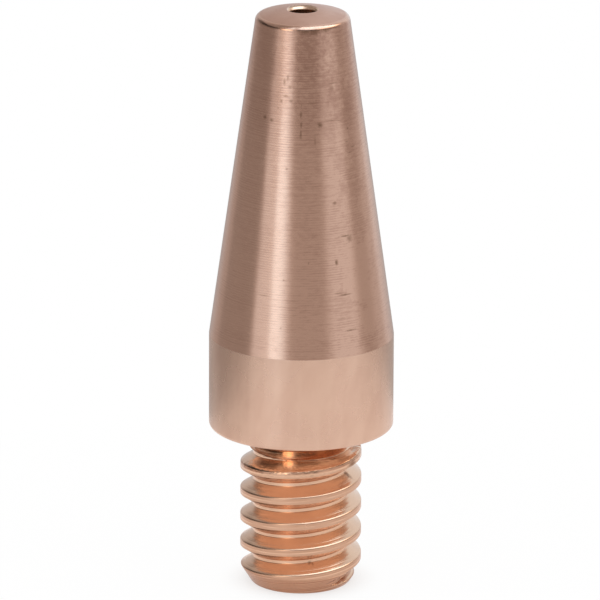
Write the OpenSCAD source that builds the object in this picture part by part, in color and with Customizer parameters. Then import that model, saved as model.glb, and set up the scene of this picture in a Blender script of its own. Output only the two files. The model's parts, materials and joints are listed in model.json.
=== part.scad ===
// Contact tip of a wire welding torch, turned as one piece from round copper bar.
// It stands on its threaded end: the origin is the centre of that end,
// and +Z runs along the wire bore towards the nose.

/* [Shank] */
// Diameter of the plain shank, which is the bar's own drawn surface
shank_d = 12; // [10:0.1:14]
// Length of the plain shank above the shoulder
shank_len = 6.2; // [4:0.1:10]
// Rounding radius of the shoulder's lower rim
shoulder_round = 0.25; // [0.1:0.05:0.5]

/* [Nose] */
// Length of the taper from the shank to the nose rim
taper_len = 21.3; // [14:0.1:30]
// Diameter of the nose where the taper meets its rim
nose_d = 6.05; // [5:0.05:8]
// Rounding radius of the nose rim
nose_round = 0.2; // [0.1:0.05:0.5]
// Height of the domed nose face above its rim
nose_crown = 0.48; // [0.2:0.02:0.8]

/* [Wire bore] */
// Diameter of the bore that guides the wire
bore_d = 1.9; // [1:0.1:2.4]
// Width of the edge break round the bore's mouth at the nose
mouth_break = 0.08; // [0.04:0.02:0.2]
// Diameter of the conical wire entry at the threaded end
entry_d = 3.6; // [3:0.1:4.4]
// Included angle of the wire entry
entry_angle = 60; // [40:5:90]

/* [Thread] */
// Outside diameter of the thread
thread_d = 7.9; // [7.5:0.1:8.7]
// Diameter at the thread's root
root_d = 6.25; // [6.1:0.05:6.8]
// Rise of the thread in one turn
thread_pitch = 1.77; // [1.6:0.01:2.2]
// Included angle of the groove between two ridges
thread_angle = 66; // [50:1:70]
// Width of the flat along the top of a ridge
crest_w = 0.46; // [0.2:0.02:0.5]
// Direction from +X in which a ridge would meet the end's plane
thread_start = 12; // [0:1:359]
// Height of the groove's middle where the threading tool starts to cut
run_in_z = 0.36; // [0.1:0.02:0.8]

/* [Stem] */
// Length of the stem from its end to the shoulder
stem_len = 10.6; // [8:0.1:16]
// Length of the turned relief between the thread and the shoulder
relief_len = 1.55; // [1.2:0.05:2.4]
// Smallest diameter of the turned relief
relief_d = 5.75; // [5.4:0.05:6.05]
// Radius of the relief's hollow curve up to the shoulder
relief_round = 2.45; // [0.2:0.05:2.6]
// Diameter at the foot of the lead-in cone
end_d = 6.6; // [6.2:0.05:7.2]
// Angle of the lead-in cone from the axis
lead_in_angle = 32; // [25:1:50]
// Width of the edge break round the end
end_break = 0.08; // [0.04:0.02:0.3]

/* [Hidden] */
$fn = 128;

copper = [0.80, 0.55, 0.43];

// Heights along the axis
shoulder_z = stem_len;
taper_z = shoulder_z + shank_len;
rim_z = taper_z + taper_len;
nose_z = rim_z + nose_crown;
thread_top_z = shoulder_z - relief_len;

// Radii
shank_r = shank_d / 2;
nose_r = nose_d / 2;
bore_r = bore_d / 2;
entry_r = entry_d / 2;
thread_r = thread_d / 2;
root_r = root_d / 2;
relief_r = relief_d / 2;
end_r = end_d / 2;

// Height at which the lead-in cone reaches the thread's outside diameter
lead_in_z = end_break + (thread_r - end_r) / tan(lead_in_angle);

// Relief: a curve that ends level with the shoulder, cut short where it would reach below the thread's top,
// and small enough to leave a flat seat on the shoulder
seat_w = 0.4;
relief_curve_r = min(relief_round, shank_r - shoulder_round - seat_w - relief_r);
relief_cut = asin(max(0, 1 - relief_len / relief_curve_r));
relief_c = [relief_r + relief_curve_r, shoulder_z - relief_curve_r];

// Nose: a dome centred on the axis, and a rim arc that touches both the dome and the taper
taper_angle = atan((shank_r - nose_r) / taper_len);
taper_out = [cos(taper_angle), sin(taper_angle)];
taper_up = [-sin(taper_angle), cos(taper_angle)];
dome_r = (nose_r ^ 2 + nose_crown ^ 2) / (2 * nose_crown);
dome_c = [0, nose_z - dome_r];
rim_reach = ([shank_r, taper_z] - dome_c) * taper_out - nose_round;
rim_rise = sqrt((dome_r - nose_round) ^ 2 - rim_reach ^ 2);
rim_c = dome_c + rim_reach * taper_out + rim_rise * taper_up;
rim_angle = atan2(rim_c.y - dome_c.y, rim_c.x - dome_c.x);
mouth_z = dome_c.y + sqrt(dome_r ^ 2 - (bore_r + mouth_break) ^ 2);

// Thread groove: a sharp V, whose point lies inside the root diameter
half_angle = thread_angle / 2;
groove_point_r = thread_r - (thread_pitch - crest_w) / 2 / tan(half_angle);
groove_mouth_r = thread_r + crest_w / 4 / tan(half_angle);
groove_half_w = (groove_mouth_r - groove_point_r) * tan(half_angle);
steps_per_turn = 48;
groove_first_turn = run_in_z / thread_pitch - 0.5;
groove_turns = ceil(thread_top_z / thread_pitch) + 1;
groove_steps = groove_turns * steps_per_turn;
// The tool reaches its full depth over this many steps, from this far outside the thread
run_in_steps = 8;
run_in_gap = 0.05;
run_in_lift = thread_r + run_in_gap - groove_point_r;
// Height above the thread's top at which the groove ends, in the open space of the relief
groove_exit = 0.1;

// Length by which a cutting shape runs past the surface that it cuts
overrun = 1;

// Points of an arc in the profile plane, from one angle to another
function arc(centre, r, from, to, steps) =
    [for (i = [0:steps]) let (a = from + (to - from) * i / steps) centre + r * [cos(a), sin(a)]];

// Radius and height of every outer surface, from the end up to the nose
blank_profile = concat(
    [[0, 0], [end_r - end_break, 0], [end_r, end_break], [thread_r, lead_in_z],
     [thread_r, thread_top_z]],
    relief_curve_r < relief_len ? [[relief_r, thread_top_z]] : [],
    arc(relief_c, relief_curve_r, 180 - relief_cut, 90, 10),
    arc([shank_r - shoulder_round, shoulder_z + shoulder_round], shoulder_round, -90, 0, 6),
    [[shank_r, taper_z]],
    arc(rim_c, nose_round, taper_angle, rim_angle, 8),
    arc(dome_c, dome_r, rim_angle + 1, 90, 10)
);

// The three corners of the groove's section at one step along the helix
function groove_section(i) =
    let (turn = groove_first_turn + i / steps_per_turn,
         a = thread_start + 360 * turn,
         z = thread_pitch * (turn + 0.5),
         lift = run_in_lift * max(0, 1 - i / run_in_steps))
    [for (corner = [[groove_point_r, 0], [groove_mouth_r, -groove_half_w], [groove_mouth_r, groove_half_w]])
        let (r = corner.x + lift) [r * cos(a), r * sin(a), z + corner.y]];

// Sharp V-groove that climbs to the right, from its run-in on the lead-in cone to above the thread
module groove_helix() {
    points = [for (i = [0:groove_steps]) each groove_section(i)];
    last = 3 * groove_steps;
    sides = [for (i = [0:groove_steps - 1], k = [0:2])
        let (a = 3 * i + k, b = 3 * i + (k + 1) % 3)
        each [[a, b, b + 3], [a, b + 3, a + 3]]];
    polyhedron(points, concat([[2, 1, 0]], sides, [[last, last + 1, last + 2]]), convexity = 10);
}

// What the threading tool takes away: the V-groove, stopped flat at the root diameter and in the relief
module thread_groove() {
    intersection() {
        groove_helix();
        translate([0, 0, -overrun]) difference() {
            cylinder(r = groove_mouth_r + overrun, h = thread_top_z + groove_exit + overrun);
            translate([0, 0, -overrun]) cylinder(r = root_r, h = thread_top_z + groove_exit + 3 * overrun);
        }
    }
}

// Wire bore, with its conical entry at the end and a small edge break at the nose
module wire_bore() {
    entry_tip = entry_r / tan(entry_angle / 2);
    mouth_r = bore_r + mouth_break;
    translate([0, 0, -overrun]) cylinder(r = bore_r, h = nose_z + 2 * overrun);
    translate([0, 0, -overrun])
        cylinder(r1 = entry_r + overrun * tan(entry_angle / 2), r2 = 0, h = entry_tip + overrun);
    translate([0, 0, mouth_z - mouth_r]) cylinder(r1 = 0, r2 = mouth_r + overrun, h = mouth_r + overrun);
}

module contact_tip() {
    color(copper) difference() {
        rotate_extrude() polygon(blank_profile);
        thread_groove();
        wire_bore();
    }
}

contact_tip();
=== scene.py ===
"""Contact tip of a wire welding torch: one piece turned from copper bar, standing on its threaded end."""

import json
import math
from collections import namedtuple

import bpy
import numpy as np
from bpy.props import FloatProperty, FloatVectorProperty, PointerProperty
from bpy.types import Operator, Panel, PropertyGroup, Scene
from mathutils import Matrix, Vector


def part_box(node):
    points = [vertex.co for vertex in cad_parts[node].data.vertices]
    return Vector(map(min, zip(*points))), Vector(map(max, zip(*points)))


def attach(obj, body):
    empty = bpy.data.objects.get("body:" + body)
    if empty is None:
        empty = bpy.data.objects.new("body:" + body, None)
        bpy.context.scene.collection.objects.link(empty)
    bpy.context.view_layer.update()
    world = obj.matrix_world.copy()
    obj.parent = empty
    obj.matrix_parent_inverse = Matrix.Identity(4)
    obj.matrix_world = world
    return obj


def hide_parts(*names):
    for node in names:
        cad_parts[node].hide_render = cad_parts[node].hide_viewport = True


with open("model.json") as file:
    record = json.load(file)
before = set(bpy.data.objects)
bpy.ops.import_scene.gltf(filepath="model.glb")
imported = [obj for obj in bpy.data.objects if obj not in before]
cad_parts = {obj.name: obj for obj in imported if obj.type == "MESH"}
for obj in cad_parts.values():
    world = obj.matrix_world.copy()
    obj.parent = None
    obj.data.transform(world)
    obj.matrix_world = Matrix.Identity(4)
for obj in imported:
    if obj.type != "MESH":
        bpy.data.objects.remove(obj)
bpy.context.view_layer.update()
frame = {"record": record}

bl_info = {
    "name": "Contact Tip",
    "version": (1, 0, 0),
    "blender": (4, 5, 0),
    "location": "3D View > Sidebar > Contact Tip",
    "description": "Turns a copper contact tip and sets it on a white table in soft studio light",
    "category": "Object",
}

MM = 0.001
NODE = "contact_tip"
BODY = "root"

TIP_LOW, TIP_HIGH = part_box(NODE)
MOUNTS = {mount["name"]: mount for mount in frame["record"]["mounts"]}

# How finely the surface is laid out
COLUMNS = 216
CORNER_STEPS = 6
DOME_STEPS = 14
RELIEF_STEPS = 24
LONGEST_SIDE = 0.8 * MM
LONGEST_FLANK_SIDE = 0.09 * MM
LEDGE_ROWS = 3
EDGE_ROWS = 2
WELD_DISTANCE = 0.00002 * MM
# Keeps a division by nothing from failing
TINY = 1e-12


# Sizes and colours that a user would change

class TipSizes(PropertyGroup):
    """Sizes of the tip, from the threaded end up."""

    shank_radius: FloatProperty(
        name="Shank Radius", description="Radius of the plain shank", unit="LENGTH", default=TIP_HIGH.x)
    shank_length: FloatProperty(
        name="Shank Length", description="Length of the plain shank above the shoulder", unit="LENGTH",
        default=6.2 * MM)
    shoulder_height: FloatProperty(
        name="Shoulder Height", description="Height of the shoulder above the end", unit="LENGTH",
        default=MOUNTS["shoulder_seat"]["pos_m"][2])
    shoulder_round: FloatProperty(
        name="Shoulder Rounding", description="Rounding of the shoulder's lower rim", unit="LENGTH",
        default=0.25 * MM)
    taper_length: FloatProperty(
        name="Taper Length", description="Length of the taper from the shank to the nose rim", unit="LENGTH",
        default=21.3 * MM)
    nose_radius: FloatProperty(
        name="Nose Radius", description="Radius where the taper meets the nose rim", unit="LENGTH",
        default=3.025 * MM)
    nose_round: FloatProperty(
        name="Nose Rounding", description="Rounding of the nose rim", unit="LENGTH", default=0.38 * MM)
    nose_crown: FloatProperty(
        name="Nose Crown", description="Height of the domed nose face above its rim", unit="LENGTH",
        default=0.48 * MM)
    bore_radius: FloatProperty(
        name="Bore Radius", description="Radius of the wire bore", unit="LENGTH",
        default=MOUNTS["wire_bore"]["dims"]["r_mm"] * MM)
    mouth_break: FloatProperty(
        name="Mouth Break", description="Width of the edge break round the bore's mouth", unit="LENGTH",
        default=0.08 * MM)
    entry_radius: FloatProperty(
        name="Entry Radius", description="Radius of the conical wire entry at the end", unit="LENGTH",
        default=1.8 * MM)
    entry_angle: FloatProperty(
        name="Entry Angle", description="Included angle of the wire entry", subtype="ANGLE",
        default=math.radians(60))
    thread_radius: FloatProperty(
        name="Thread Radius", description="Outside radius of the thread", unit="LENGTH",
        default=MOUNTS["stem_thread"]["dims"]["r_mm"] * MM)
    thread_length: FloatProperty(
        name="Thread Length", description="Height at which the thread ends below the relief", unit="LENGTH",
        default=MOUNTS["stem_thread"]["dims"]["length_mm"] * MM)
    root_radius: FloatProperty(
        name="Root Radius", description="Radius at the thread's root", unit="LENGTH", default=3.125 * MM)
    pitch: FloatProperty(
        name="Pitch", description="Rise of the thread in one turn", unit="LENGTH", default=1.77 * MM)
    crest_width: FloatProperty(
        name="Crest Width", description="Width of the flat along the top of a ridge", unit="LENGTH",
        default=0.46 * MM)
    crest_round: FloatProperty(
        name="Crest Rounding", description="Rounding of a ridge's upper edge", unit="LENGTH",
        default=0.16 * MM)
    worn_round: FloatProperty(
        name="Worn Rounding", description="Rounding of the upper edge of the ridge next to the relief",
        unit="LENGTH", default=0.3 * MM)
    root_round: FloatProperty(
        name="Root Rounding", description="Rounding between a ridge's side and the root", unit="LENGTH",
        default=0.08 * MM)
    flank_angle: FloatProperty(
        name="Flank Angle", description="Lean of a ridge's side from the square", subtype="ANGLE",
        default=math.radians(33))
    thread_start: FloatProperty(
        name="Thread Start", description="Direction from +X in which a ridge would meet the end's plane",
        subtype="ANGLE", default=math.radians(12))
    run_in_height: FloatProperty(
        name="Run-in Height", description="Height of the groove's middle where the tool starts to cut",
        unit="LENGTH", default=0.36 * MM)
    relief_radius: FloatProperty(
        name="Relief Radius", description="Smallest radius of the relief under the shoulder", unit="LENGTH",
        default=2.875 * MM)
    relief_round: FloatProperty(
        name="Relief Rounding", description="Radius of the relief's hollow curve up to the shoulder",
        unit="LENGTH", default=2.45 * MM)
    end_radius: FloatProperty(
        name="End Radius", description="Radius at the foot of the lead-in cone", unit="LENGTH",
        default=3.3 * MM)
    end_break: FloatProperty(
        name="End Break", description="Width of the edge break round the end", unit="LENGTH",
        default=0.08 * MM)
    lead_in_angle: FloatProperty(
        name="Lead-in Angle", description="Angle of the lead-in cone from the axis", subtype="ANGLE",
        default=math.radians(32))
    edge_ease: FloatProperty(
        name="Edge Ease", description="Rounding of the small turned edges", unit="LENGTH", default=0.04 * MM)
    shank_ease: FloatProperty(
        name="Shank Ease", description="Rounding where the taper meets the shank", unit="LENGTH",
        default=0.4 * MM)


class TipColours(PropertyGroup):
    """Colours of the copper in its different states; the stain and the red copper also serve as painted
    shade, and fresh and worn copper as painted highlights.
    """

    # Worn copper is also the lighter colour of the painted highlight on the nose rim
    worn: FloatVectorProperty(
        name="Worn Copper", description="Handled copper of the shank and the taper", subtype="COLOR",
        default=(0.757, 0.45, 0.328), min=0, max=1)
    drawn: FloatVectorProperty(
        name="Drawn Copper", description="Skin of the drawn bar on the shank", subtype="COLOR",
        default=(0.738, 0.481, 0.361), min=0, max=1)
    # Fresh copper is also the painted highlight at the bore's mouth
    fresh: FloatVectorProperty(
        name="Fresh Copper", description="Bright cut copper of the thread", subtype="COLOR",
        default=(0.81, 0.51, 0.35), min=0, max=1)
    rubbed: FloatVectorProperty(
        name="Rubbed Copper", description="Dulled copper along the tops of the ridges", subtype="COLOR",
        default=(0.6, 0.34, 0.225), min=0, max=1)
    tarnish: FloatVectorProperty(
        name="Tarnish", description="Brown bloom on the turned surfaces", subtype="COLOR",
        default=(0.53, 0.285, 0.205), min=0, max=1)
    # Red copper is also painted shade in the bore and round the lead-in
    reddened: FloatVectorProperty(
        name="Red Copper", description="Red-brown skin in the bore and round the lead-in", subtype="COLOR",
        default=(0.47, 0.21, 0.12), min=0, max=1)
    # The stain is also painted shade inside the bore
    stain: FloatVectorProperty(
        name="Stain", description="Dark spots and scratches", subtype="COLOR",
        default=(0.23, 0.115, 0.065), min=0, max=1)


class StudioSettings(PropertyGroup):
    """Table, light and camera."""

    table_radius: FloatProperty(
        name="Table Radius", description="Radius of the white table", unit="LENGTH", default=54 * MM)
    table_offset: FloatVectorProperty(
        name="Table Offset", description="Middle of the table from the tip's axis", size=2, unit="LENGTH",
        default=(6.5 * MM, -17 * MM))
    room_level: FloatProperty(
        name="Room Level", description="Brightness of the room in the metal, where white is 1", default=0.48)
    lamp_colour: FloatVectorProperty(
        name="Lamp Colour", description="Tint of the lamps' light in the metal", subtype="COLOR",
        default=(0.9, 1.13, 1.3), min=0, max=2)
    warm_colour: FloatVectorProperty(
        name="Warm Colour", description="Tint of the low lamps' light in the metal", subtype="COLOR",
        default=(1.05, 0.97, 0.8), min=0, max=2)
    camera_distance: FloatProperty(
        name="Camera Distance", description="Distance of the camera in front of the axis", unit="LENGTH",
        default=500 * MM)
    camera_height: FloatProperty(
        name="Camera Height", description="Height of the camera above the table", unit="LENGTH",
        default=173.32 * MM)
    camera_pitch: FloatProperty(
        name="Camera Pitch", description="How far the camera looks down", subtype="ANGLE",
        default=math.radians(17.158))
    camera_roll: FloatProperty(
        name="Camera Roll", description="Turn of the camera about its own view", subtype="ANGLE",
        default=math.radians(0.244))
    camera_lens: FloatProperty(
        name="Camera Lens", description="Focal length in millimetres on a 36 mm sensor", default=484.5)


# Shader maths

class Wire:
    """One output of a shader node: an expression on wires and numbers adds the Math nodes for it."""

    def __init__(self, socket):
        self.socket = socket
        self.tree = socket.id_data

    @classmethod
    def node(cls, tree, kind, settings=None, inputs=None, out=0):
        """Adds a node: its settings first, then a number, a colour or a wire for each named socket."""
        made = tree.nodes.new(kind)
        for name, value in (settings or {}).items():
            setattr(made, name, value)
        for key, value in (inputs or {}).items():
            if isinstance(value, Wire):
                tree.links.new(value.socket, made.inputs[key])
            else:
                made.inputs[key].default_value = value
        return cls(made.outputs[out]) if made.outputs else None

    def maths(self, operation, *values):
        """Result of one Math node on the given values."""
        return Wire.node(self.tree, "ShaderNodeMath", {"operation": operation}, dict(enumerate(values)))

    def __add__(self, other):
        return self.maths("ADD", self, other)

    def __sub__(self, other):
        return self.maths("SUBTRACT", self, other)

    def __rsub__(self, other):
        return self.maths("SUBTRACT", other, self)

    def __mul__(self, other):
        return self.maths("MULTIPLY", self, other)

    def __truediv__(self, other):
        return self.maths("DIVIDE", self, other)

    def __pow__(self, other):
        return self.maths("POWER", self, other)

    def __neg__(self):
        return self * -1

    def __abs__(self):
        return self.maths("ABSOLUTE", self)

    __radd__ = __add__
    __rmul__ = __mul__

    def rise(self, low, high):
        """Smooth step from 0 at the low value to 1 at the high value."""
        settings = {"interpolation_type": "SMOOTHSTEP"}
        return Wire.node(self.tree, "ShaderNodeMapRange", settings, {0: self, 1: low, 2: high})

    def noise(self, detail=2.0, roughness=0.5):
        """Smooth random value of a number, one bump for each unit."""
        inputs = {"W": self, "Scale": 1.0, "Detail": detail, "Roughness": roughness}
        return Wire.node(self.tree, "ShaderNodeTexNoise", {"noise_dimensions": "1D"}, inputs)

    def cloud(self, scale, detail=2.0, roughness=0.5):
        """Smooth random value of a place, with the given number of bumps a metre."""
        inputs = {"Vector": self, "Scale": scale, "Detail": detail, "Roughness": roughness}
        return Wire.node(self.tree, "ShaderNodeTexNoise", None, inputs)

    def stretched(self, factors):
        """Place with each axis multiplied by its own factor."""
        return Wire.node(self.tree, "ShaderNodeVectorMath", {"operation": "MULTIPLY"}, {0: self, 1: factors})

    def parts(self):
        """The three numbers of a place."""
        split = self.tree.nodes.new("ShaderNodeSeparateXYZ")
        self.tree.links.new(self.socket, split.inputs[0])
        return [Wire(socket) for socket in split.outputs]

    def between(self, first, second):
        """Colour mixed from two, by this value."""
        inputs = {0: self, 6: opaque(first), 7: opaque(second)}
        return Wire.node(self.tree, "ShaderNodeMix", {"data_type": "RGBA"}, inputs, out=2)


def opaque(colour):
    """A colour as a socket takes it: a wire stays, and three numbers get their alpha."""
    return colour if isinstance(colour, Wire) else (*colour, 1.0)


def new_tree(holder):
    """Empty node tree of a material or a world."""
    holder.use_nodes = True
    holder.node_tree.nodes.clear()
    return holder.node_tree


# Shape of the tip

def taper_foot(sizes):
    """Height at which the shank ends and the taper starts."""
    return sizes.shoulder_height + sizes.shank_length


def nose_rim(sizes):
    """Height at which the taper ends and the nose face starts."""
    return taper_foot(sizes) + sizes.taper_length


def unit(vectors):
    """Vectors of length 1 in the same directions."""
    return vectors / np.maximum(np.linalg.norm(vectors, axis=1, keepdims=True), TINY)


def rounded(corners):
    """Outline through corners given as (across, along, rounding).

    A corner becomes the circle arc that touches both of its sides: the quadratic curve from one touch to the
    other, drawn to the corner with the sine of half the angle between the sides as its weight.
    """
    corners = np.asarray(corners, float)
    point = corners[:, :2]
    back = unit(np.roll(point, 1, axis=0) - point)
    on = unit(np.roll(point, -1, axis=0) - point)
    half = np.arccos(np.clip((back * on).sum(axis=1), -1, 1)) / 2
    reach = (corners[:, 2] / np.maximum(np.tan(half), TINY))[:, None]
    t = np.linspace(0, 1, CORNER_STEPS + 1)[:, None, None]
    weight = 2 * t * (1 - t) * np.sin(half)[:, None]
    first, last = (1 - t) ** 2, t ** 2
    curve = first * (point + reach * back) + weight * point + last * (point + reach * on)
    outline = (curve / (first + weight + last)).transpose(1, 0, 2).reshape(-1, 2)
    moved = np.linalg.norm(np.diff(outline, axis=0), axis=1) > WELD_DISTANCE
    return outline[np.concatenate([[True], moved])]


def refined(outline, longest):
    """The same outline with points added evenly along every side that is longer than the limit."""
    sides = np.diff(outline, axis=0)
    count = np.maximum(1, np.ceil(np.linalg.norm(sides, axis=1) / longest)).astype(int)
    side = np.repeat(np.arange(len(count)), count)
    share = (np.arange(count.sum()) - np.repeat(np.cumsum(count) - count, count)) / count[side]
    return np.vstack([outline[side] + share[:, None] * sides[side], outline[-1:]])


def body_outline(sizes):
    """Radius and height from inside the bore over the nose, taper, shank and shoulder to the thread.

    The nose face is part of a sphere through its rim and its crown, and the relief is part of a circle that
    ends level with the shoulder.
    """
    rim_z = nose_rim(sizes)
    dome_radius = (sizes.nose_radius ** 2 + sizes.nose_crown ** 2) / (2 * sizes.nose_crown)
    dome_z = rim_z + sizes.nose_crown - dome_radius
    mouth_radius = sizes.bore_radius + sizes.mouth_break
    dome_r = np.linspace(mouth_radius, sizes.nose_radius - sizes.nose_round, DOME_STEPS)
    dome = np.stack([dome_r, dome_z + np.sqrt(dome_radius ** 2 - dome_r ** 2), 0 * dome_r], axis=1)
    curve = sizes.relief_round
    cut = max(0, 1 - (sizes.shoulder_height - sizes.thread_length) / curve)
    turn = np.linspace(math.pi / 2, math.asin(cut), RELIEF_STEPS)
    relief_r = sizes.relief_radius + curve * (1 - np.cos(turn))
    relief_z = sizes.shoulder_height - curve * (1 - np.sin(turn))
    relief = np.stack([relief_r, relief_z, 0 * turn], axis=1)
    mouth_ease = sizes.mouth_break / 3
    dome[0, 2] = mouth_ease
    corners = np.vstack([
        (sizes.bore_radius, sizes.shoulder_height, 0),
        (sizes.bore_radius, dome[0, 1] - sizes.mouth_break, mouth_ease),
        dome,
        (sizes.nose_radius, rim_z, sizes.nose_round),
        (sizes.shank_radius, taper_foot(sizes), sizes.shank_ease),
        (sizes.shank_radius, sizes.shoulder_height, sizes.shoulder_round),
        relief,
        (relief_r[-1], sizes.thread_length, 0),
    ])
    return refined(rounded(corners), LONGEST_SIDE)


def end_outline(sizes):
    """Radius and height from the edge break of the end over its ring and the wire entry into the bore."""
    entry_depth = (sizes.entry_radius - sizes.bore_radius) / math.tan(sizes.entry_angle / 2)
    corners = [
        (sizes.end_radius, sizes.end_break, 0),
        (sizes.end_radius - sizes.end_break, 0, sizes.edge_ease),
        (sizes.entry_radius, 0, sizes.edge_ease),
        (sizes.bore_radius, entry_depth, sizes.edge_ease),
        (sizes.bore_radius, sizes.shoulder_height, 0),
    ]
    return refined(rounded(corners), LONGEST_SIDE)


def ridge_section(sizes, upper_round):
    """Height from a ridge's middle and radius, over one pitch from root to root."""
    crest = sizes.crest_width / 2
    foot = crest + (sizes.thread_radius - sizes.root_radius) * math.tan(sizes.flank_angle)
    corners = [
        (-sizes.pitch / 2, sizes.root_radius, 0),
        (-foot, sizes.root_radius, sizes.root_round),
        (-crest, sizes.thread_radius, sizes.edge_ease),
        (crest, sizes.thread_radius, upper_round),
        (foot, sizes.root_radius, sizes.root_round),
        (sizes.pitch / 2, sizes.root_radius, 0),
    ]
    return refined(rounded(corners), LONGEST_FLANK_SIDE)


def softer_least(first, second, blend):
    """The smaller of two values, with the corner between them eased over the blend's width."""
    gap = np.clip(0.5 + (second - first) / (2 * blend), 0, 1)
    return second + (first - second) * gap - blend * gap * (1 - gap)


# Share of a turn over which the threading tool reaches its depth, and how far out it starts, in depths
RUN_IN_TURN = 1 / 6
RUN_IN_LIFT = 1.3
# Share of a turn over which the wear of the ridge next to the relief sets in
WEAR_TURN = 0.5


def stem_rows(sizes, angle):
    """Radius and height of the thread, in rows from the relief down that climb with the helix.

    A row keeps its place in the ridge's section, so its height is that place plus the pitch times the turns
    made. Rows that climb past an end of the thread stop there. The ridge next to the relief is worn rounder,
    the groove deepens over its run-in, and the lead-in cone trims the ridges.
    """
    section = ridge_section(sizes, sizes.crest_round)
    worn = ridge_section(sizes, sizes.worn_round)
    turns = np.arange(-2, math.ceil(sizes.thread_length / sizes.pitch) + 2)
    place = (turns[:, None] * sizes.pitch + section[None, :-1, 0]).ravel()[::-1]
    climb = sizes.pitch * (angle - sizes.thread_start) / math.tau
    z = np.clip(place[:, None] + climb[None, :], sizes.end_break, sizes.thread_length)
    up = z - climb[None, :]
    ridge_z = np.round(up / sizes.pitch) * sizes.pitch + climb
    groove_z = (np.floor(up / sizes.pitch) + 0.5) * sizes.pitch + climb
    sharp = np.interp(up, section[:-1, 0], section[:-1, 1], period=sizes.pitch)
    blunt = np.interp(up, worn[:-1, 0], worn[:-1, 1], period=sizes.pitch)
    wear = np.clip((ridge_z + sizes.pitch - sizes.thread_length) / (WEAR_TURN * sizes.pitch), 0, 1)
    ridge = sharp + (blunt - sharp) * wear
    lift = np.clip(1 - (groove_z - sizes.run_in_height) / (RUN_IN_TURN * sizes.pitch), 0, 1)
    depth = sizes.thread_radius - sizes.root_radius
    ridge = np.minimum(ridge + RUN_IN_LIFT * depth * lift, sizes.thread_radius)
    cone = sizes.end_radius + (z - sizes.end_break) * math.tan(sizes.lead_in_angle)
    return softer_least(ridge, cone, sizes.edge_ease), z


def blended_rows(first, last, count):
    """Rows strictly between two rows, spaced evenly."""
    share = np.linspace(0, 1, count + 2)[1:-1, None, None]
    return first + share * (last - first)


def tip_grid(sizes):
    """Places on a grid of rows round the whole section and columns round the axis, and both run closed.

    A point is its radius carried round the axis: x is the radius times the cosine of its column's angle,
    y is the radius times the sine, and z is its height.
    """
    angle = np.linspace(0, math.tau, COLUMNS + 1)
    carried = np.ones_like(angle)
    body = body_outline(sizes)[:, :, None] * carried
    end = end_outline(sizes)[1:, :, None] * carried
    stem = np.stack(stem_rows(sizes, angle), axis=1)
    ledge = blended_rows(body[-1], stem[0], LEDGE_ROWS)
    edge = blended_rows(stem[-1], end[0], EDGE_ROWS)
    radius, height = np.concatenate([body, ledge, stem, edge, end]).transpose(1, 0, 2)
    return np.stack([radius * np.cos(angle), radius * np.sin(angle), height], axis=2)


def welded(grid):
    """Points and faces of a grid, with points that share a place made one and collapsed faces dropped."""
    rows, columns = grid.shape[:2]
    index = np.arange(rows * columns).reshape(rows, columns)
    quads = np.stack([index[:-1, :-1], index[1:, :-1], index[1:, 1:], index[:-1, 1:]], axis=2).reshape(-1, 4)
    flat = grid.reshape(-1, 3)
    keys = np.round(flat / WELD_DISTANCE).astype(np.int64)
    _, first, same = np.unique(keys, axis=0, return_index=True, return_inverse=True)
    quads = same.reshape(-1)[quads]
    closed = quads == np.roll(quads, -1, axis=1)
    four = quads[closed.sum(axis=1) == 0]
    folded = closed.sum(axis=1) == 1
    three = quads[folded][~closed[folded]].reshape(-1, 3)
    return flat[first], four, three


def face_sums(points, faces):
    """Middle of each face and its normal, as long as the face's area: half the cross of its diagonals."""
    corner = points[faces]
    across = corner[:, 2] - corner[:, 0]
    along = corner[:, -1] - corner[:, 1] if faces.shape[1] == 4 else corner[:, 2] - corner[:, 1]
    return corner.mean(axis=1), np.cross(across, along) / 2


def smooth_normals(points, groups):
    """Normal at each point: the sum of the normals of the faces round it, each as long as its face's area."""
    total = np.zeros_like(points)
    for faces, normal in groups:
        for corner in range(faces.shape[1]):
            np.add.at(total, faces[:, corner], normal)
    return unit(total)


def finish_index(middle, sizes):
    """Number of the finish at each place: bore, nose face, taper, shank or stem."""
    radius = np.hypot(middle[:, 0], middle[:, 1])
    z = middle[:, 2]
    places = [
        radius < sizes.bore_radius + sizes.mouth_break,
        z > nose_rim(sizes),
        z > taper_foot(sizes),
        z > sizes.shoulder_height,
    ]
    return np.select(places, [0, 1, 2, 3], default=4)


def tip_mesh(sizes):
    """Closed mesh of the whole tip, with a material number for each face."""
    points, four, three = welded(tip_grid(sizes))
    groups = []
    middles = []
    for faces in (four, three):
        middle, normal = face_sums(points, faces)
        middles.append(middle)
        groups.append((faces, normal))
    mesh = bpy.data.meshes.new(NODE)
    mesh.from_pydata(points.tolist(), [], four.tolist() + three.tolist())
    mesh.polygons.foreach_set("material_index", finish_index(np.vstack(middles), sizes))
    mesh.polygons.foreach_set("use_smooth", np.ones(len(four) + len(three), bool))
    mesh.update()
    mesh.normals_split_custom_set_from_vertices(smooth_normals(points, groups).tolist())
    return mesh


# Finishes of the copper

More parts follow.
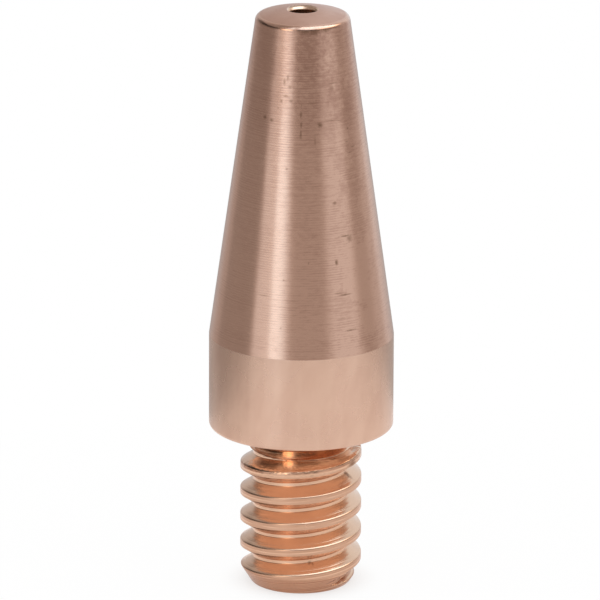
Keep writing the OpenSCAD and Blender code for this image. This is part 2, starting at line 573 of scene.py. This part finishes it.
# Dark marks: direction from the front in degrees, height on the tip and half width and height of the mark
# in millimetres, and how dark it is
Mark = namedtuple("Mark", "turn z wide tall strength")
TAPER_MARKS = (
    Mark(16.6, 31.86, 0.22, 0.22, 0.8),
    Mark(-38.5, 32.18, 0.16, 0.16, 0.7),
    Mark(-30.6, 32.07, 0.18, 0.15, 0.7),
    Mark(-1.0, 33.10, 0.06, 0.22, 0.35),
    Mark(-1.4, 32.55, 0.08, 0.30, 0.60),
    Mark(-1.0, 31.90, 0.09, 0.24, 0.60),
    Mark(-1.5, 31.30, 0.09, 0.35, 0.65),
    Mark(-15.5, 34.90, 0.11, 0.24, 0.60),
    Mark(-19.0, 34.60, 0.10, 0.30, 0.55),
    Mark(-13.0, 34.30, 0.15, 0.13, 0.55),
    Mark(-17.0, 33.70, 0.24, 0.11, 0.60),
    Mark(-21.5, 33.35, 0.12, 0.12, 0.55),
    Mark(-11.5, 33.40, 0.14, 0.12, 0.55),
    Mark(33.6, 34.43, 0.45, 0.05, 0.45),
    Mark(28.1, 32.07, 0.5, 0.05, 0.45),
    Mark(11.7, 30.86, 0.08, 0.45, 0.35),
    Mark(-13.5, 29.05, 0.12, 0.12, 0.5),
    Mark(34.8, 24.57, 0.6, 0.07, 0.75),
    Mark(25.7, 22.96, 0.14, 0.24, 0.8),
    Mark(31.2, 20.82, 0.55, 0.07, 0.75),
    Mark(33.6, 18.48, 0.6, 0.07, 0.7),
    Mark(46.9, 31.36, 0.10, 0.10, 0.50),
    Mark(44.1, 30.55, 0.22, 0.05, 0.40),
    Mark(51.2, 30.13, 0.25, 0.06, 0.40),
    Mark(46.5, 29.81, 0.20, 0.05, 0.40),
    Mark(26.9, 26.76, 0.15, 0.16, 0.6),
    Mark(38.0, 24.35, 0.28, 0.32, 0.55),
    Mark(4.9, 23.04, 0.08, 0.10, 0.40),
    Mark(25.9, 20.97, 0.40, 0.05, 0.45),
    Mark(27.8, 19.33, 0.35, 0.06, 0.40),
    Mark(-12.7, 21.91, 0.08, 0.08, 0.50),
    Mark(-26.7, 20.81, 0.45, 0.05, 0.40),
    Mark(-13.6, 18.81, 0.10, 0.10, 0.40),
    Mark(31.2, 34.11, 0.25, 0.20, 0.30),
    Mark(5.9, 35.54, 0.30, 0.05, 0.40),
    Mark(-4.3, 35.45, 0.08, 0.08, 0.35),
    Mark(-24.5, 32.90, 0.09, 0.09, 0.40),
    Mark(36.7, 32.00, 0.25, 0.05, 0.35),
    Mark(10.1, 33.27, 0.45, 0.10, 0.25),
    Mark(3.0, 37.83, 0.55, 0.22, 0.60),
    Mark(14.0, 37.80, 0.55, 0.26, 0.65),
    Mark(28.0, 37.85, 0.50, 0.20, 0.60),
)
THREAD_MARKS = (
    Mark(10.6, 2.1, 0.16, 0.14, 0.85),
    Mark(14.0, 2.03, 0.10, 0.10, 0.60),
    Mark(66.0, 7.56, 0.25, 0.28, 0.85),
    Mark(58.0, 8.55, 0.55, 0.32, 0.90),
)


class Finish:
    """A copper material in the making: its tree, its place on the tip and its colours."""

    def __init__(self, name):
        self.material = bpy.data.materials.new(name)
        self.tree = new_tree(self.material)
        self.colours = bpy.context.scene.contact_tip_colours
        self.place = Wire.node(self.tree, "ShaderNodeTexCoord", out="Object")
        self.x, self.y, self.z = self.place.parts()
        self.turn = self.x.maths("ARCTAN2", self.x, -self.y)
        self.radius = (self.x ** 2.0 + self.y ** 2.0) ** 0.5

    def bump(self, height, depth):
        """Normal of a surface whose height runs from nothing to the given depth."""
        return Wire.node(self.tree, "ShaderNodeBump", None, {"Distance": depth, "Height": height})

    def metal(self, colour, roughness, normal):
        """Ends the tree in a metal of this colour and roughness."""
        inputs = {"Base Color": opaque(colour), "Metallic": 1.0, "Roughness": roughness, "Normal": normal}
        shader = Wire.node(self.tree, "ShaderNodeBsdfPrincipled", None, inputs)
        Wire.node(self.tree, "ShaderNodeOutputMaterial", None, {"Surface": shader})
        return self.material


def marks_on(copper, marks):
    """How dark the marks make each place: a soft spot for each, measured round the axis and along it."""
    ragged = copper.place.cloud(7000, 2.0)
    total = None
    for mark in marks:
        across = (copper.turn - math.radians(mark.turn)) * copper.radius / (mark.wide * MM)
        along = (copper.z - mark.z * MM) / (mark.tall * MM)
        far = (across ** 2.0 + along ** 2.0) ** 0.5 + ragged
        spot = mark.strength * (1 - far.rise(0.5, 1.7))
        total = spot if total is None else total.maths("MAXIMUM", total, spot)
    return total


# Wire bore: depth to which the wire has worn the mouth wider, and height over which its polish and a painted
# highlight set in there.
# The flare leans out by as much as it rises, and is measured in these steps
FLARE_DEPTH = 0.265 * MM
FLARE_POLISH_AND_HIGHLIGHT = 0.06 * MM
FLARE_STEP = 0.1 * MM


def drilled_bore():
    """Wall of the wire bore: dark red-brown inside as painted shade of the hole, with the wire's polish and a
    painted highlight at the mouth, and drawn along the hole.
    """
    copper = Finish("drilled_bore")
    flare_foot = TIP_HIGH.z - FLARE_DEPTH
    lines = copper.place.stretched((1, 1, 0.05)).cloud(9000)
    polish_and_highlight = copper.z.rise(flare_foot, flare_foot + FLARE_POLISH_AND_HIGHLIGHT)
    flare = copper.z.maths("MAXIMUM", (copper.z - flare_foot) / FLARE_STEP, 0.0)
    # The dark red-brown of the wall is painted shade inside the bore
    colour = (0.3 + 0.4 * lines).between(copper.colours.reddened, copper.colours.stain)
    # Fresh copper at the mouth is a painted highlight, on top of the wire's polish
    colour = polish_and_highlight.between(colour, copper.colours.fresh)
    normal = copper.bump(0.02 * lines - flare, FLARE_STEP)
    return copper.metal(colour, 0.25 + 0.2 * lines - 0.15 * polish_and_highlight, normal)


# Spacing of the rings that the facing cut leaves on the nose, and depth of every line of the turning tool
RING_SPACING = 0.11 * MM
TOOL_LINE_DEPTH = 0.003 * MM
# Radii between which the red round the bore fades out, and where across the nose it sets in on its one side
RED_ROUND_BORE = (1.0 * MM, 2.0 * MM)
RED_SIDE = (-0.3 * MM, 0.8 * MM)
# Radii between which the nose face's rim turns polished and lighter in colour, a painted highlight
RIM_HIGHLIGHT_RADIUS = (2.7 * MM, 2.9 * MM)


def faced_nose():
    """Browned nose face, with rings from the facing cut and a polished rim painted lighter as a highlight."""
    copper = Finish("faced_nose")
    rings = (copper.radius / RING_SPACING).noise()
    bloom = copper.place.cloud(900, 3.0)
    rim = copper.radius.rise(*RIM_HIGHLIGHT_RADIUS)
    # Less brown at the rim: a painted highlight
    browned = 0.65 + 0.6 * (bloom - 0.5) + 0.2 * (rings - 0.5) - 0.4 * rim
    colour = browned.between(copper.colours.worn, copper.colours.tarnish)
    by_bore = (1 - copper.radius.rise(*RED_ROUND_BORE)) * copper.x.rise(*RED_SIDE)
    colour = (0.4 * by_bore).between(colour, copper.colours.reddened)
    roughness = 0.3 + 0.15 * bloom - 0.2 * rim
    return copper.metal(colour, roughness, copper.bump(rings, TOOL_LINE_DEPTH))


# Taper: the tool's feed for each turn, and the spacing of its finest lines and of broader bands
TOOL_FEED = 0.156 * MM
LINE_SPACING = 0.12 * MM
BAND_SPACING = 1.3 * MM
# Heights between which the brown deepens, the heat of the nose shows, and the rim turns polished and lighter
# in colour, a painted highlight
BROWNING = (20 * MM, 34 * MM)
NEAR_NOSE = (29 * MM, 37 * MM)
RIM_HIGHLIGHT_HEIGHT = (37.9 * MM, 38.1 * MM)


def turned_taper():
    """Taper with the fine lines of the turning tool, brown bloom, spots and scratches."""
    copper = Finish("turned_taper")
    near_nose = copper.z.rise(*NEAR_NOSE)
    rim = copper.z.rise(*RIM_HIGHLIGHT_HEIGHT)

    # What the tool left round the taper
    lines = (copper.z / LINE_SPACING).noise(1.0)
    bands = (copper.z / BAND_SPACING).noise(2.0)
    feed = copper.z / (TOOL_FEED / math.tau)
    feed = feed.maths("SINE", feed) * copper.place.cloud(300, 2.0).rise(0.4, 0.6)

    # What handling and heat left on it, each over its own part of the front
    bloom = copper.place.stretched((1, 1, 0.6)).cloud(500, 4.0)
    grain = copper.place.stretched((1, 1, 3)).cloud(2600, 3.0, 0.6)
    dashes = copper.place.stretched((1, 1, 9)).cloud(800, 3.0, 0.6)
    marred = 0.45 + 0.55 * copper.turn.rise(-0.7, 0.0)
    speckle = copper.place.cloud(3200, 4.0, 0.65).rise(0.4, 0.62)
    speckled = copper.turn.rise(-0.45, -0.05) * (1 - copper.turn.rise(0.5, 1.0)) * near_nose
    patches = copper.place.stretched((1, 1, 0.7)).cloud(700, 4.0, 0.6).rise(0.44, 0.56)
    scuffed = copper.turn.rise(0.3, 0.5) * (1 - copper.turn.rise(0.9, 1.2))

    browned = 0.07 + 0.22 * copper.z.rise(*BROWNING) + 0.35 * near_nose + 0.6 * (bloom - 0.5)
    browned = browned + 0.4 * (lines - 0.5) + 0.2 * (bands - 0.5) + 0.18 * feed
    browned = browned + marred * (0.9 * (dashes - 0.5) + 1.3 * (grain - 0.5))
    browned = browned + speckled * (0.4 * speckle - 0.05) + 0.4 * scuffed * (patches - 0.6)
    # Less brown at the rim: a painted highlight
    colour = (browned - 0.4 * rim).between(copper.colours.worn, copper.colours.tarnish)
    colour = marks_on(copper, TAPER_MARKS).between(colour, copper.colours.stain)
    roughness = 0.14 + 0.1 * bloom + 0.07 * near_nose - 0.1 * rim
    waves = copper.place.stretched((1, 1, 0.5)).cloud(900, 2.0)
    height = 0.5 * lines + (1.5 + 5 * near_nose) * waves
    return copper.metal(colour, roughness, copper.bump(height, TOOL_LINE_DEPTH))


# Shank: height over which its smudges lean round by one radian, and depth of its streaks
SMUDGE_LEAN = 17 * MM
STREAK_DEPTH = 0.006 * MM


def drawn_shank():
    """Shank in the bar's own drawn skin, with soft streaks along it and slanted smudges."""
    copper = Finish("drawn_shank")
    streaks = copper.place.stretched((1, 1, 0.12)).cloud(1500, 3.0)
    slant = copper.turn - copper.z / SMUDGE_LEAN
    across = copper.radius * slant.maths("SINE", slant)
    away = copper.radius * slant.maths("COSINE", slant)
    slanted = Wire.node(copper.tree, "ShaderNodeCombineXYZ", None, {0: across, 1: away, 2: 0.3 * copper.z})
    smudges = slanted.cloud(900, 3.0)
    bloom = copper.place.cloud(350, 3.0)
    browned = 0.1 + 0.35 * (streaks - 0.5) + 0.6 * (smudges - 0.5) + 0.4 * (bloom - 0.5)
    colour = browned.between(copper.colours.drawn, copper.colours.tarnish)
    return copper.metal(colour, 0.21 + 0.12 * bloom, copper.bump(streaks + smudges, STREAK_DEPTH))


# Thread: direction from +X of the front, where the finishes' own turn is nothing
FRONT = 1.5 * math.pi
# Heights between which the red-brown painted shade round the lead-in fades out and the worn ridge next to the
# relief begins, and the radii between which that ridge's dents begin
LEAD_IN_SHADE = (1.0 * MM, 1.3 * MM)
WORN_RIDGE = (7.6 * MM, 8.1 * MM)
DENTED_RADIUS = (3.4 * MM, 3.7 * MM)
# Spacing and depth of the streaks along the ridges, and spacing of the scores on the worn ridge
RIDGE_STREAK_SPACING = 0.11 * MM
RIDGE_STREAK_DEPTH = 0.005 * MM
SCORE_SPACING = 0.15 * MM
# How far inside and outside a ridge's edge its dulled top fades
TOP_FADE = (-0.02 * MM, 0.05 * MM)


def cut_thread():
    """Bright cut of the thread, relief, shoulder's underside and end, dulled along the ridges' tops, with
    painted shade in red-brown round the lead-in.
    """
    copper = Finish("cut_thread")
    sizes = bpy.context.scene.contact_tip_sizes
    climbed = sizes.pitch * (copper.turn + (FRONT - sizes.thread_start)) / math.tau
    half = sizes.pitch / 2
    across = copper.z.maths("FLOORED_MODULO", copper.z - climbed + half, sizes.pitch) - half
    top_low, top_high = (sizes.crest_width / 2 + fade for fade in TOP_FADE)
    top = 1 - abs(across).rise(top_low, top_high)
    # Painted shade: the lead-in at the foot is made duller and red-brown
    lead_in_shade = 1 - copper.z.rise(*LEAD_IN_SHADE)
    by_relief = copper.z.rise(*WORN_RIDGE)

    bloom = copper.place.cloud(800, 3.0)
    patchy = copper.place.cloud(450, 2.0).rise(0.35, 0.65)
    streaks = (across / RIDGE_STREAK_SPACING).noise(2.0).rise(0.38, 0.62)
    scores = (across / SCORE_SPACING).noise(1.0).rise(0.44, 0.54) * by_relief * top
    dents = by_relief * copper.radius.rise(*DENTED_RADIUS) * copper.place.cloud(1500, 3.0, 0.6)

    rubbed = top.maths("MAXIMUM", top, lead_in_shade) * (1 - 0.5 * by_relief)
    rubbed = rubbed * (0.6 + 1.6 * (streaks - 0.5) * patchy) + 0.12 + 0.5 * (bloom - 0.5)
    colour = rubbed.between(copper.colours.fresh, copper.colours.rubbed)
    colour = (lead_in_shade * (0.45 + 0.5 * (streaks - 0.5))).between(colour, copper.colours.reddened)
    colour = (0.75 * scores * (0.35 + 0.65 * patchy)).between(colour, copper.colours.reddened)
    colour = marks_on(copper, THREAD_MARKS).between(colour, copper.colours.stain)
    roughness = 0.16 + 0.1 * bloom + 0.08 * top - 0.12 * by_relief
    return copper.metal(colour, roughness, copper.bump(streaks + 14 * dents, RIDGE_STREAK_DEPTH))


# In the order of the numbers that finish_index gives
FINISHES = (drilled_bore, faced_nose, turned_taper, drawn_shank, cut_thread)


class TurnTip(Operator):
    """Turns the contact tip and gives it its copper finishes"""

    bl_idname = "contact_tip.turn_tip"
    bl_label = "Turn Tip"

    def execute(self, context):
        sizes = context.scene.contact_tip_sizes
        if sizes.root_radius <= sizes.entry_radius:
            raise ValueError("the wire entry would cut through the thread's root")
        mesh = tip_mesh(sizes)
        for finish in FINISHES:
            mesh.materials.append(finish())
        piece = bpy.data.objects.new("contact_tip_turned", mesh)
        context.scene.collection.objects.link(piece)
        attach(piece, BODY)
        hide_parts(NODE)
        return {"FINISHED"}


# Table, light and camera

# What stands round the table, seen by the metal: its edges by direction from the front and by elevation,
# in degrees, how softly each edge fades, and how much brighter or darker than the room it is
Screen = namedtuple("Screen", "left left_fade right right_fade low high rise_fade level")
LAMPS = (
    Screen(-41, 2, -22, 10, -13, 75, 5, 0.95),
    Screen(-64, 3, -41, 2, -13, 5, 5, 0.4),
    Screen(36, 8, 80, 8, -16, 9, 5, 0.31),
    Screen(110, 8, 130, 8, -12, 75, 4, 0.14),
    Screen(130, 8, 200, 5, -12, 75, 4, 0.45),
    Screen(-200, 5, -142, 6, -12, 75, 4, 0.15),
    Screen(-12, 10, 112, 8, 36, 100, 6, 1.8),
)
WARM_LAMPS = (
    Screen(-52, 3, -28, 4, 8, 27, 4, 2.2),
    Screen(36, 8, 118, 6, 28, 38, 4, 1.5),
)
FLAGS = (
    Screen(-126, 6, -66, 3, -60, 75, 8, -0.13),
    Screen(-150, 10, 92, 8, 7, 32, 4, -0.3),
)
# How soon a brightening lamp takes on its full tint
LAMP_TINT = 1.3


def window(value, low, low_fade, high, high_fade):
    """1 between two edges and 0 outside them, with each edge softened by its fade on both sides."""
    inside = value.rise(low - low_fade, low + low_fade)
    return inside * (1 - value.rise(high - high_fade, high + high_fade))


def screens_seen(screens, turn, rise):
    """Light of some screens in each direction: each is a soft window times its level, and they add up."""
    total = 0
    for screen in screens:
        across = window(turn, screen.left, screen.left_fade, screen.right, screen.right_fade)
        upright = window(rise, screen.low, screen.rise_fade, screen.high, screen.rise_fade)
        total = screen.level * across * upright + total
    return total


def set_world(settings):
    """White all round for the camera and for plain light, and the room with its screens in the metal."""
    world = bpy.data.worlds.new("studio")
    bpy.context.scene.world = world
    tree = new_tree(world)
    x, y, z = Wire.node(tree, "ShaderNodeTexCoord", out="Generated").parts()
    turn = x.maths("ARCTAN2", x, -y) * math.degrees(1)
    rise = z.maths("ARCSINE", z) * math.degrees(1)
    lamps = screens_seen(LAMPS, turn, rise)
    warm = screens_seen(WARM_LAMPS, turn, rise)
    room = settings.room_level + screens_seen(FLAGS, turn, rise) + lamps + warm
    in_metal = Wire.node(tree, "ShaderNodeLightPath", out="Is Glossy Ray")
    colour = (in_metal * lamps * LAMP_TINT).between((1, 1, 1), settings.lamp_colour)
    colour = (in_metal * warm).between(colour, settings.warm_colour)
    inputs = {"Color": colour, "Strength": 1 + in_metal * (room - 1)}
    light = Wire.node(tree, "ShaderNodeBackground", None, inputs)
    Wire.node(tree, "ShaderNodeOutputWorld", None, {"Surface": light})


# Distances from the tip's axis between which the table's shadow fades out
SHADOW_FADE = (3 * MM, 5.5 * MM)
# Share of even white in the table: in the metal, and to the camera at the tip's foot and farther out
EVEN_IN_METAL = 0.3
EVEN_AT_FOOT = 0.65
EVEN_FAR_OUT = 0.95
TABLE_WHITE = (0.99, 0.99, 0.99)


def white_table_top():
    """White that holds a soft shadow: mostly even white to the camera, and lit by the room in the metal."""
    material = bpy.data.materials.new("white_table")
    tree = new_tree(material)
    lit = Wire.node(tree, "ShaderNodeBsdfDiffuse", None, {"Color": opaque(TABLE_WHITE)})
    even = Wire.node(tree, "ShaderNodeEmission", None, {"Color": opaque((1, 1, 1)), "Strength": 1.0})
    seen = Wire.node(tree, "ShaderNodeLightPath", out="Is Camera Ray")
    x, y, z = Wire.node(tree, "ShaderNodeTexCoord", out="Object").parts()
    far = ((x ** 2.0 + y ** 2.0) ** 0.5).rise(*SHADOW_FADE)
    to_camera = EVEN_AT_FOOT + (EVEN_FAR_OUT - EVEN_AT_FOOT) * far
    even_share = EVEN_IN_METAL + seen * (to_camera - EVEN_IN_METAL)
    shader = Wire.node(tree, "ShaderNodeMixShader", None, {0: even_share, 1: lit, 2: even})
    Wire.node(tree, "ShaderNodeOutputMaterial", None, {"Surface": shader})
    return material


# How finely the table is laid out, and how far it lies below the tip's end
TABLE_COLUMNS = 96
TABLE_RINGS = 8
TABLE_GAP = 0.01 * MM


def set_table(settings):
    """Round flat table: rings of points at growing radius, each carried once round the axis."""
    angle = np.linspace(0, math.tau, TABLE_COLUMNS + 1)
    radius = np.linspace(0, settings.table_radius, TABLE_RINGS + 1)[:, None]
    x, y = settings.table_offset
    flat = np.full((len(radius), len(angle)), -TABLE_GAP)
    grid = np.stack([x + radius * np.cos(angle), y + radius * np.sin(angle), flat], axis=2)
    points, four, three = welded(grid)
    mesh = bpy.data.meshes.new("table")
    mesh.from_pydata(points.tolist(), [], four.tolist() + three.tolist())
    mesh.materials.append(white_table_top())
    table = bpy.data.objects.new("table", mesh)
    bpy.context.scene.collection.objects.link(table)


# The picture is cut a little off the lens's axis, by these pixels of its width
PICTURE_WIDTH = 600
SHIFT_ACROSS = -1.58
SHIFT_UP = 0.92
SENSOR_WIDTH = 36
NEAREST_SEEN = 10 * MM


def set_camera(settings):
    """Camera in front of the tip, looking down on it and turned a little about its own view."""
    camera = bpy.data.cameras.new("camera")
    camera.sensor_width = SENSOR_WIDTH
    camera.lens = settings.camera_lens
    camera.shift_x = SHIFT_ACROSS / PICTURE_WIDTH
    camera.shift_y = SHIFT_UP / PICTURE_WIDTH
    camera.clip_start = NEAREST_SEEN
    holder = bpy.data.objects.new("camera", camera)
    holder.location = (0, -settings.camera_distance, settings.camera_height)
    tilt = Matrix.Rotation(math.radians(90) - settings.camera_pitch, 3, "X")
    roll = Matrix.Rotation(settings.camera_roll, 3, "Z")
    holder.rotation_euler = (tilt @ roll).to_euler()
    bpy.context.scene.collection.objects.link(holder)
    bpy.context.scene.camera = holder


class SetStage(Operator):
    """Sets the white table, the light and the camera"""

    bl_idname = "contact_tip.set_stage"
    bl_label = "Set Stage"

    def execute(self, context):
        settings = context.scene.contact_tip_studio
        context.scene.view_settings.view_transform = "Standard"
        set_world(settings)
        set_table(settings)
        set_camera(settings)
        return {"FINISHED"}


class TipPanel(Panel):
    """Lists the steps and what they can be given"""

    bl_idname = "VIEW3D_PT_contact_tip"
    bl_label = "Contact Tip"
    bl_space_type = "VIEW_3D"
    bl_region_type = "UI"
    bl_category = "Contact Tip"

    def draw(self, context):
        for operator in (TurnTip, SetStage):
            self.layout.operator(operator.bl_idname)
        for name in GROUPS:
            box = self.layout.box()
            group = getattr(context.scene, name)
            for prop in group.bl_rna.properties:
                if prop.identifier in group.__annotations__:
                    box.prop(group, prop.identifier)


GROUPS = {
    "contact_tip_sizes": TipSizes,
    "contact_tip_colours": TipColours,
    "contact_tip_studio": StudioSettings,
}
CLASSES = (TipSizes, TipColours, StudioSettings, TurnTip, SetStage, TipPanel)


def register():
    for cls in CLASSES:
        bpy.utils.register_class(cls)
    for name, group in GROUPS.items():
        setattr(Scene, name, PointerProperty(type=group))


def unregister():
    for name in GROUPS:
        delattr(Scene, name)
    for cls in reversed(CLASSES):
        bpy.utils.unregister_class(cls)


def main():
    register()
    bpy.ops.contact_tip.turn_tip()
    bpy.ops.contact_tip.set_stage()


if __name__ == "__main__":
    main()
